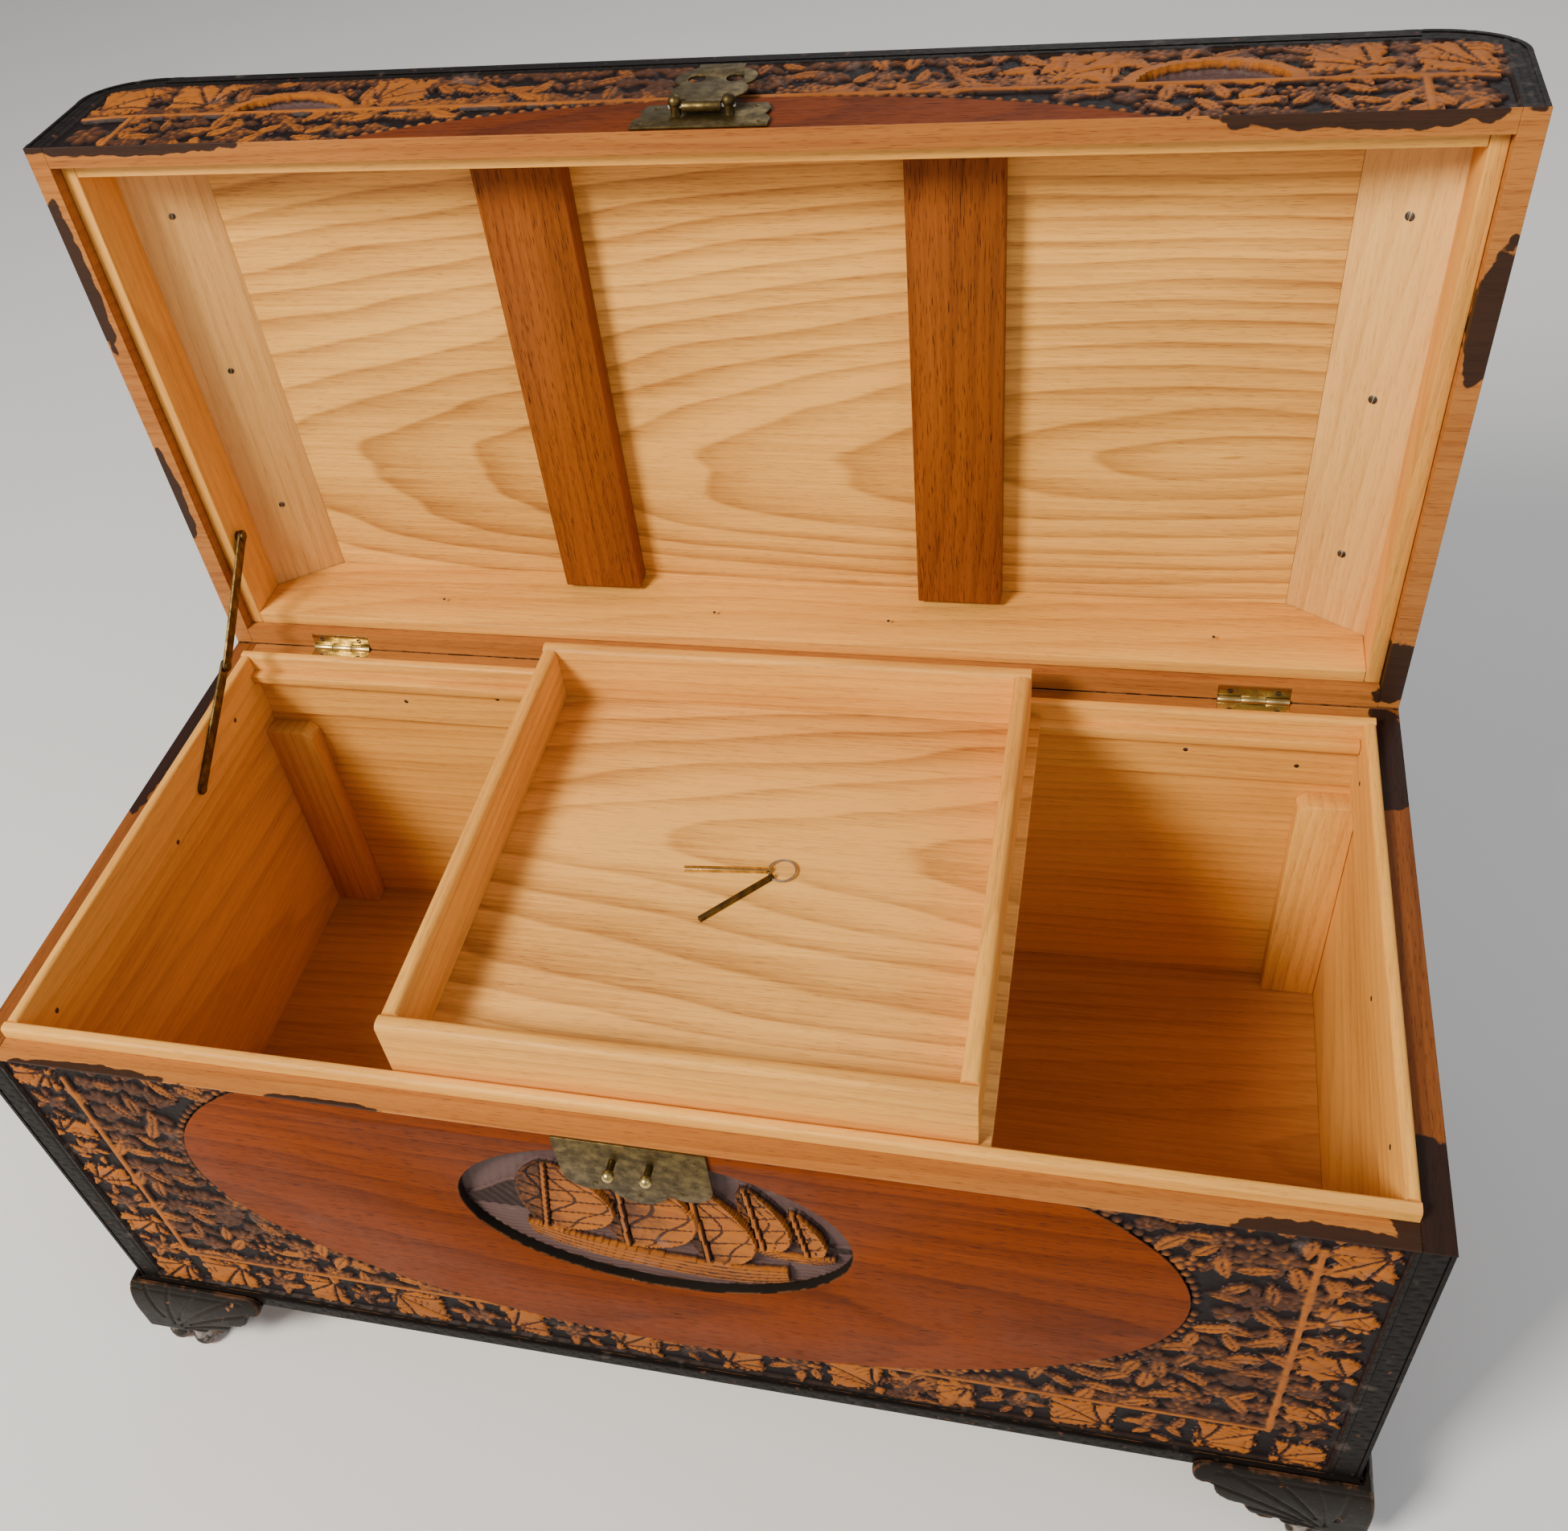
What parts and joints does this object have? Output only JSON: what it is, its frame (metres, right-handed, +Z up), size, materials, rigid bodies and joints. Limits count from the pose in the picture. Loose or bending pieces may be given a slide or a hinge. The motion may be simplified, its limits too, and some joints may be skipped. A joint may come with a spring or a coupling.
{
  "type": "wooden chest",
  "caption": "Carved camphor-wood storage chest on shell feet, with a hinged lid, brass hasp and lock plate, folding stay, sliding inner tray and square keys.",
  "frame": {"origin": "on the floor, in the middle of the box round the chest with its lid open", "axes": "+X to the right as seen from the front, -Y towards the front, +Z up"},
  "size_m": [1.028, 0.5996, 0.9138],
  "materials": {
    "carved_camphor": "carved, dark stained and polished, worn orange on the high places",
    "plain_camphor": "bare golden wood, satin",
    "red_brown_wood": "red-brown, dry",
    "black_painted_wood": "black paint with fine incised lines, worn through at the edges",
    "aged_brass": "olive-brown tarnished brass",
    "bright_brass": "yellow brass, dull",
    "steel": "grey steel"
  },
  "bodies": {
    "chest_body": {"front_board": "carved_camphor", "back_board": "carved_camphor", "end_board_left": "carved_camphor", "end_board_right": "carved_camphor", "bottom_board": "plain_camphor", "base_strip_front": "black_painted_wood", "base_strip_back": "black_painted_wood", "base_strip_left": "black_painted_wood", "base_strip_right": "black_painted_wood", "upper_rail_front": "plain_camphor", "upper_rail_back": "plain_camphor", "upper_rail_left": "plain_camphor", "upper_rail_right": "plain_camphor", "corner_post_front_left": "plain_camphor", "corner_post_front_right": "plain_camphor", "corner_post_back_left": "plain_camphor", "corner_post_back_right": "plain_camphor", "foot_front_left": "black_painted_wood", "foot_front_right": "black_painted_wood", "foot_back_left": "black_painted_wood", "foot_back_right": "black_painted_wood", "tray_runner_front": "plain_camphor", "tray_runner_back": "plain_camphor", "lock_plate": "aged_brass", "lock_staple_left": "aged_brass", "lock_staple_right": "aged_brass", "hinge_body_leaf_left": "bright_brass", "hinge_body_leaf_right": "bright_brass", "hinge_pin_left": "steel", "hinge_pin_right": "steel"},
    "lid": {"lid_front": "carved_camphor", "lid_back": "carved_camphor", "lid_end_left": "black_painted_wood", "lid_end_right": "black_painted_wood", "lid_top": "carved_camphor", "lid_ceiling_panel": "plain_camphor", "lid_canted_block_left": "plain_camphor", "lid_canted_block_right": "plain_camphor", "lid_lining_front": "plain_camphor", "lid_lining_back": "plain_camphor", "lid_lining_left": "plain_camphor", "lid_lining_right": "plain_camphor", "lid_batten_left": "red_brown_wood", "lid_batten_right": "red_brown_wood", "hinge_lid_leaf_left": "bright_brass", "hinge_lid_leaf_right": "bright_brass", "hasp_plate": "aged_brass", "hasp_pin": "steel"},
    "hasp": {"hasp_flap": "aged_brass"},
    "stay_lower": {"stay_lower_bar": "aged_brass"},
    "stay_upper": {"stay_upper_bar": "aged_brass"},
    "tray": {"tray_front": "plain_camphor", "tray_back": "plain_camphor", "tray_left": "plain_camphor", "tray_right": "plain_camphor", "tray_bottom": "plain_camphor"},
    "keys": {"key_one": "bright_brass", "key_two": "bright_brass", "key_ring": "steel"}
  },
  "joints": [
    {"name": "lid_hinge", "type": "hinge", "parent": "chest_body", "child": "lid", "pos_m": [0, 0.1795, 0.4363], "axis": [1, 0, 0], "range_deg": [0, 90]},
    {"name": "hasp_pin_turn", "type": "hinge", "parent": "lid", "child": "hasp", "pos_m": [0, 0.1998, 0.9058], "axis": [1, 0, 0], "range_deg": [0, 180]},
    {"name": "tray_slide", "type": "slide", "parent": "chest_body", "child": "tray", "axis": [1, 0, 0], "range_m": [-0.275, 0.238]},
    {"name": "keys_lift", "type": "slide", "parent": "tray", "child": "keys", "axis": [0, 0, 1], "range_m": [0, 0.045]},
    {"name": "stay_lower_turn", "type": "hinge", "parent": "chest_body", "child": "stay_lower", "pos_m": [-0.4705, 0.021, 0.4073], "axis": [1, 0, 0], "range_deg": [-63.36, 0]},
    {"name": "stay_upper_turn", "type": "hinge", "parent": "lid", "child": "stay_upper", "pos_m": [-0.4682, 0.203, 0.5408], "axis": [1, 0, 0], "range_deg": [-18.6, 0]}
  ],
  "couplings": [
    {"joint": "stay_lower_turn", "follows": "lid_hinge", "ratio": -0.70395},
    {"joint": "stay_upper_turn", "follows": "lid_hinge", "ratio": -0.20669}
  ]
}
